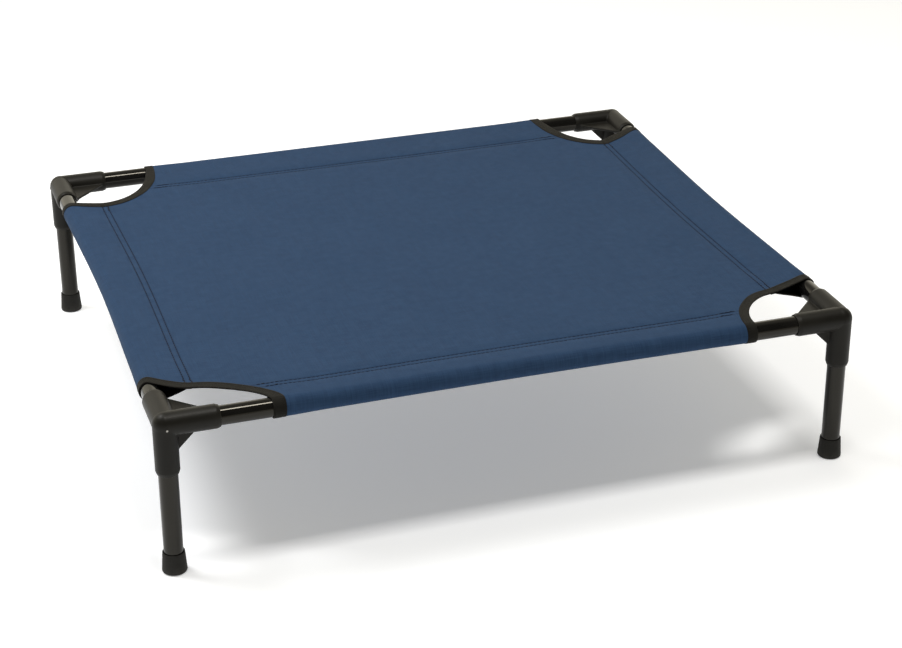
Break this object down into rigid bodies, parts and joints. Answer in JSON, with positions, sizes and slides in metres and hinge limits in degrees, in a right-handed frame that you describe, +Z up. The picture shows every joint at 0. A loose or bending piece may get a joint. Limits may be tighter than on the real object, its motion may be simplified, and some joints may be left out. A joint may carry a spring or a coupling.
{
  "type": "raised dog bed",
  "caption": "Raised dog bed: cloth deck sewn into sleeves round a steel tube frame, with moulded corner connectors, push-in legs and rubber feet.",
  "frame": {"origin": "on the floor, midway between the four feet", "axes": "+X along the front rail to the right, +Y from the front to the back, +Z up"},
  "size_m": [0.8282, 0.7322, 0.1966],
  "materials": {
    "painted_steel": "glossy black paint on thin round steel tube",
    "moulded_plastic": "satin black injection-moulded plastic",
    "rubber": "matt black rubber",
    "woven_cloth": "fine plain-woven polyester in navy blue",
    "binding_tape": "folded and stitched black woven tape"
  },
  "bodies": {
    "root": {"front_rail": "painted_steel", "front_sleeve": "woven_cloth", "right_rail": "painted_steel", "right_sleeve": "woven_cloth", "back_rail": "painted_steel", "back_sleeve": "woven_cloth", "left_rail": "painted_steel", "left_sleeve": "woven_cloth", "connector_front_left": "moulded_plastic", "binding_front_left": "binding_tape", "connector_front_right": "moulded_plastic", "binding_front_right": "binding_tape", "connector_back_right": "moulded_plastic", "binding_back_right": "binding_tape", "connector_back_left": "moulded_plastic", "binding_back_left": "binding_tape", "deck_panel": "woven_cloth"},
    "leg_assembly_front_left": {"leg_front_left": "painted_steel", "foot_cap_front_left": "rubber"},
    "leg_assembly_front_right": {"leg_front_right": "painted_steel", "foot_cap_front_right": "rubber"},
    "leg_assembly_back_right": {"leg_back_right": "painted_steel", "foot_cap_back_right": "rubber"},
    "leg_assembly_back_left": {"leg_back_left": "painted_steel", "foot_cap_back_left": "rubber"}
  },
  "joints": [
    {"name": "leg_pull_front_left", "type": "slide", "parent": "root", "child": "leg_assembly_front_left", "axis": [0, 0, -1], "range_m": [0, 0.04]},
    {"name": "leg_pull_front_right", "type": "slide", "parent": "root", "child": "leg_assembly_front_right", "axis": [0, 0, -1], "range_m": [0, 0.04]},
    {"name": "leg_pull_back_right", "type": "slide", "parent": "root", "child": "leg_assembly_back_right", "axis": [0, 0, -1], "range_m": [0, 0.04]},
    {"name": "leg_pull_back_left", "type": "slide", "parent": "root", "child": "leg_assembly_back_left", "axis": [0, 0, -1], "range_m": [0, 0.04]}
  ]
}
